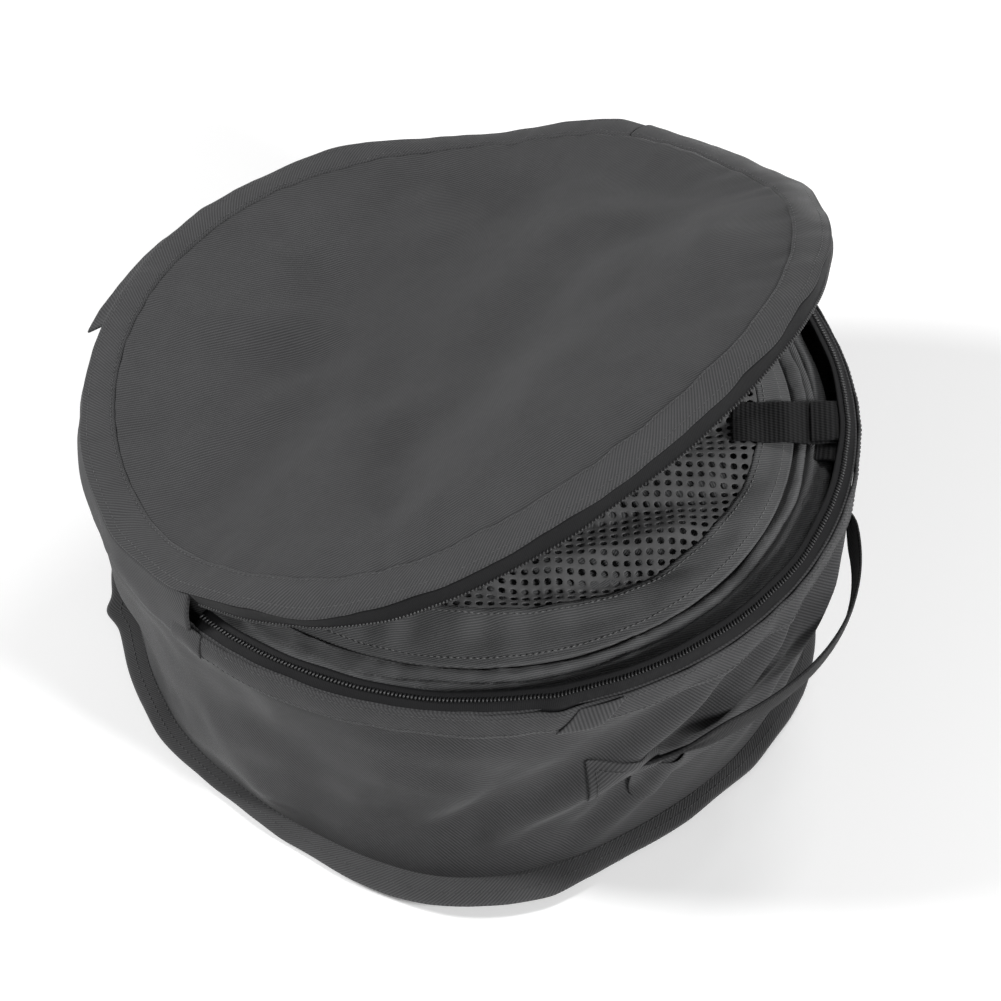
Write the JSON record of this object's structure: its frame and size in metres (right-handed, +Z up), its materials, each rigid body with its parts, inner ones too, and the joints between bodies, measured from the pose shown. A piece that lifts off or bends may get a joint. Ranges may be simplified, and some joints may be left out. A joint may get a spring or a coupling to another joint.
{
  "type": "round carry case with folded pop-up disc",
  "caption": "Round soft carry case with a zipped, folding lid and a webbing handle, holding a coiled spring-hoop fabric disc with a mesh window.",
  "frame": {"origin": "centre of the base's underside, on the surface that the case stands on", "axes": "+Z up out of the base; the lid folds along a line parallel to X on the +Y side; the zip's mouth and the carry handle face -Y"},
  "size_m": [0.3998, 0.4171, 0.2993],
  "materials": {
    "case_fabric": "charcoal polyester twill with a soft sheen",
    "hem_fabric": "folded twill binding, lockstitched",
    "panel_fabric": "grey polyester twill",
    "air_mesh": "grey spacer mesh with round holes",
    "zip_tape": "black woven tape",
    "zip_coil": "black nylon coil",
    "zip_metal": "black lacquered zinc",
    "webbing": "black ribbed webbing",
    "spring_steel": "flat spring band"
  },
  "bodies": {
    "case": {"drum_wall": "case_fabric", "base_panel": "case_fabric", "base_hem": "hem_fabric", "drum_binding": "hem_fabric", "hinge_gusset": "case_fabric", "drum_zip_tape": "zip_tape", "drum_zip_coil": "zip_coil", "zip_end_cover_left": "hem_fabric", "zip_end_cover_right": "hem_fabric", "lid_rear_panel": "case_fabric", "lid_rear_hem": "hem_fabric", "handle_tab_left": "webbing", "handle_tab_right": "webbing"},
    "lid_flap": {"lid_flap_panel": "case_fabric", "lid_flap_hem": "hem_fabric", "lid_zip_tape": "zip_tape", "lid_zip_coil": "zip_coil"},
    "slider": {"zip_slider": "zip_metal"},
    "pull": {"pull_tab": "zip_metal"},
    "handle": {"carry_handle": "webbing"},
    "disc": {"hoop_band_lower": "spring_steel", "hoop_band_middle": "spring_steel", "hoop_band_upper": "spring_steel", "hoop_sleeve_lower": "panel_fabric", "hoop_sleeve_middle": "panel_fabric", "hoop_sleeve_upper": "panel_fabric", "hoop_ferrule_lower": "spring_steel", "hoop_ferrule_middle": "spring_steel", "hoop_ferrule_upper": "spring_steel", "folded_panel_lower": "panel_fabric", "folded_panel_middle": "panel_fabric", "folded_panel_upper": "panel_fabric", "window_border": "panel_fabric", "mesh_window": "air_mesh", "keeper_strap": "webbing", "keeper_tab": "webbing"}
  },
  "joints": [
    {"name": "lid_fold", "type": "hinge", "parent": "case", "child": "lid_flap", "pos_m": [0, 0.045, 0.166], "axis": [-1, 0, 0], "range_deg": [-33, 117]},
    {"name": "zip_run", "type": "hinge", "parent": "case", "child": "slider", "pos_m": [0, 0, 0.157], "axis": [0, 0, 1], "range_deg": [-200, 0]},
    {"name": "pull_swing", "type": "hinge", "parent": "slider", "child": "pull", "pos_m": [0.19658, 0.03515, 0.1581], "axis": [0.176, -0.9844, 0], "range_deg": [0, 100]},
    {"name": "handle_swing", "type": "hinge", "parent": "case", "child": "handle", "pos_m": [0, -0.15829, 0.08], "axis": [-1, 0, 0], "range_deg": [-56, 8]},
    {"name": "disc_lift", "type": "slide", "parent": "case", "child": "disc", "axis": [0, 0, 1], "range_m": [0, 0.011]}
  ]
}
